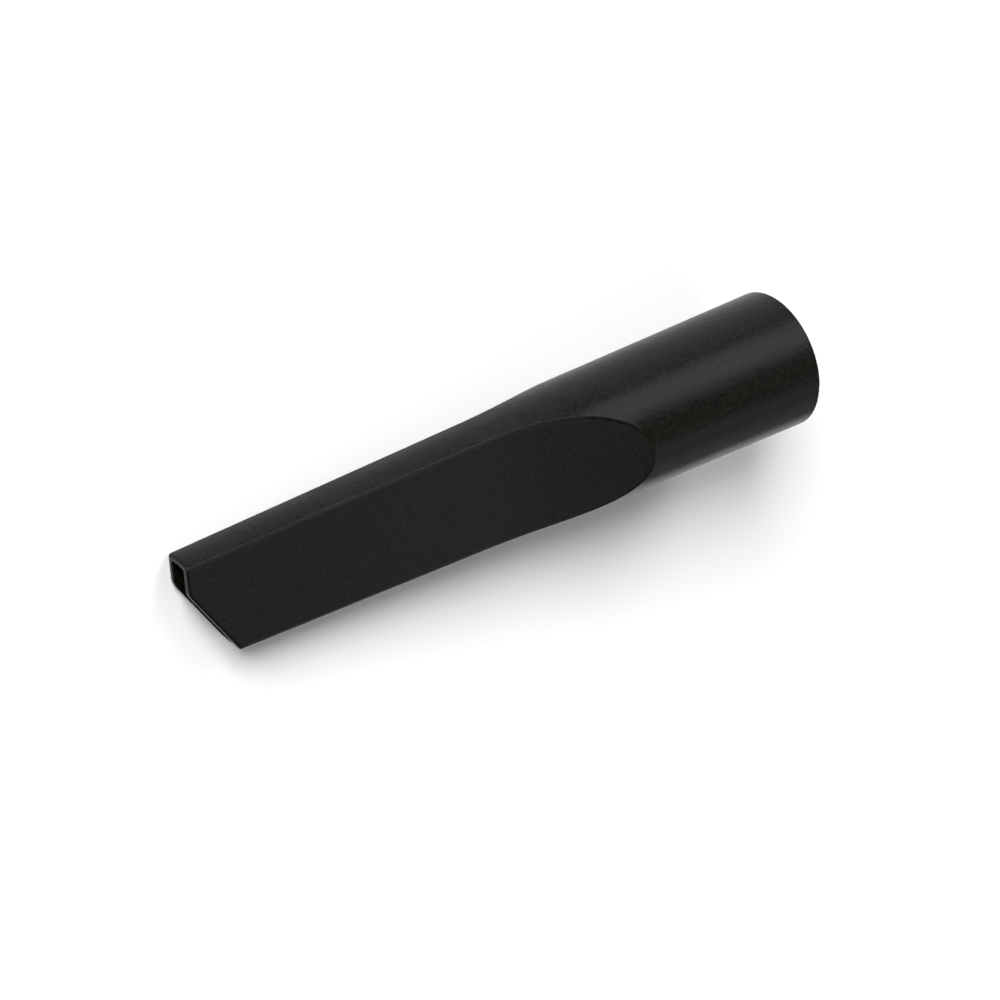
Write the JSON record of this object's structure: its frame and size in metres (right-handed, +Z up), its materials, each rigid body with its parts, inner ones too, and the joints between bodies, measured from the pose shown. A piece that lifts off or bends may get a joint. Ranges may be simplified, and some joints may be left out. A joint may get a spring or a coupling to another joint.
{
  "type": "vacuum crevice tool",
  "caption": "Flat tapered crevice nozzle of a vacuum cleaner in one piece: a round push-on wand socket whose sides run out into a narrow hollow nozzle with a slanted mouth.",
  "frame": {"origin": "on the surface that the tool lies on, below the middle of its length", "axes": "+X along the tool towards the socket's mouth, +Y across it towards the square end of the nozzle's mouth, +Z up; the tool lies on one flat side, on the edge of its tip and on the shoulder of its socket, so its own axis rises by about 6 degrees towards the socket"},
  "size_m": [0.1992, 0.04, 0.0448],
  "materials": {
    "black_plastic": "fine matt moulded texture, black, with a soft sheen"
  },
  "bodies": {
    "root": {"crevice_tool": "black_plastic"}
  },
  "joints": []
}
